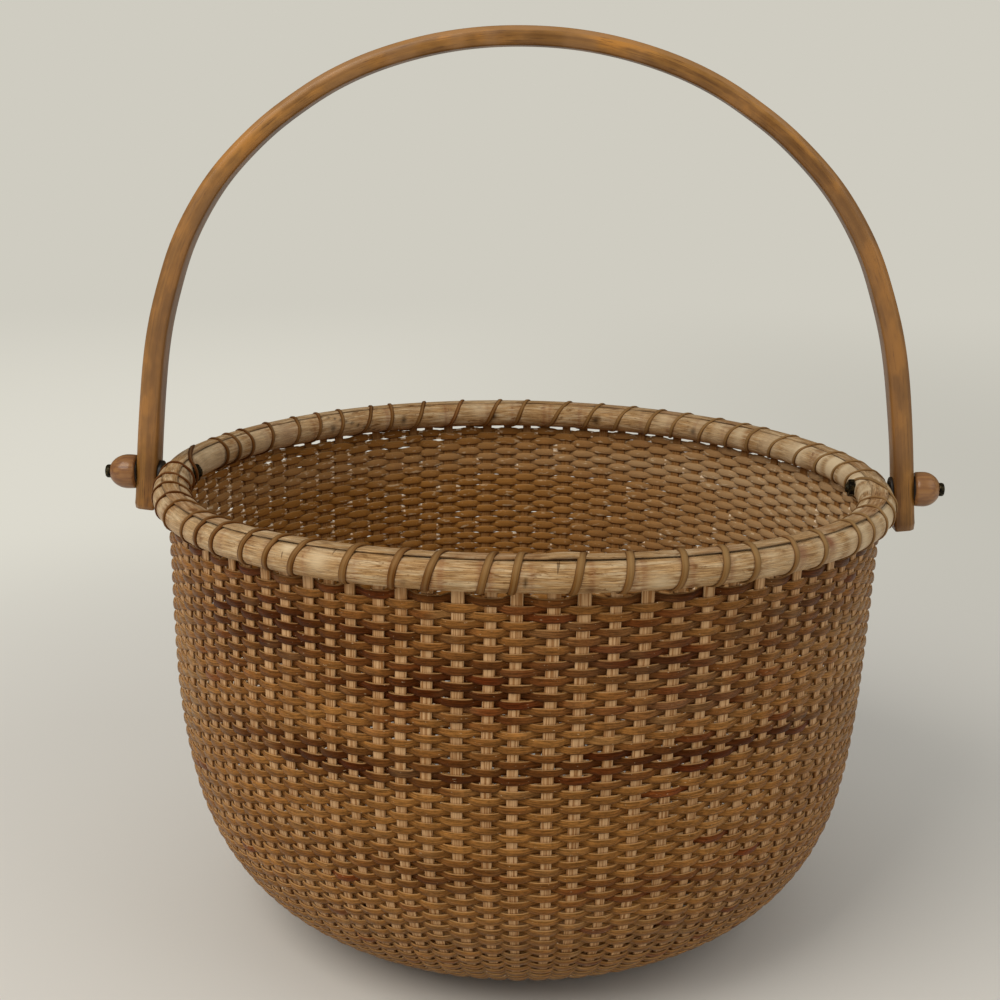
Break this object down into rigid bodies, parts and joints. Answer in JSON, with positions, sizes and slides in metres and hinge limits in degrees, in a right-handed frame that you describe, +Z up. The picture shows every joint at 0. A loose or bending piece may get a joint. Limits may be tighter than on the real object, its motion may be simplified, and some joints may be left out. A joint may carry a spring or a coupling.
{
  "type": "nantucket basket",
  "caption": "Round deep open basket of fine cane woven over close upright staves on a turned wooden base, with a lashed half-round hoop rim and a bent swing handle on side knobs",
  "frame": {"origin": "middle of the underside of the wooden base, on the floor that the basket stands on", "axes": "+Z up to the handle's crown, X along the handle's pivot axis from knob to knob, +Y across the handle; all lengths in metres"},
  "size_m": [0.352, 0.3061, 0.3638],
  "materials": {
    "base_wood": "satin varnished",
    "weave_cane": "semi-gloss shellacked cane",
    "hoop_rattan": "satin, worn rattan",
    "lashing_cane": "semi-gloss cane",
    "handle_wood": "satin varnished",
    "knob_wood": "gloss lacquered",
    "spacer_black": "satin, ebonised",
    "bolt_bronze": "dark patina"
  },
  "bodies": {
    "basket": {"base": "base_wood", "base_plug": "base_wood", "woven_wall": "weave_cane", "outer_hoop": "hoop_rattan", "inner_hoop": "hoop_rattan", "rim_cap": "hoop_rattan", "rim_lashing": "lashing_cane", "left_bolt": "bolt_bronze", "right_bolt": "bolt_bronze", "left_nut": "bolt_bronze", "right_nut": "bolt_bronze", "left_spacer": "spacer_black", "right_spacer": "spacer_black", "left_washer": "spacer_black", "right_washer": "spacer_black", "left_knob": "knob_wood", "right_knob": "knob_wood"},
    "handle": {"handle": "handle_wood"}
  },
  "joints": [
    {"name": "handle_swing", "type": "hinge", "parent": "basket", "child": "handle", "pos_m": [0, 0, 0.1822], "axis": [1, 0, 0], "range_deg": [-123, 123]}
  ]
}
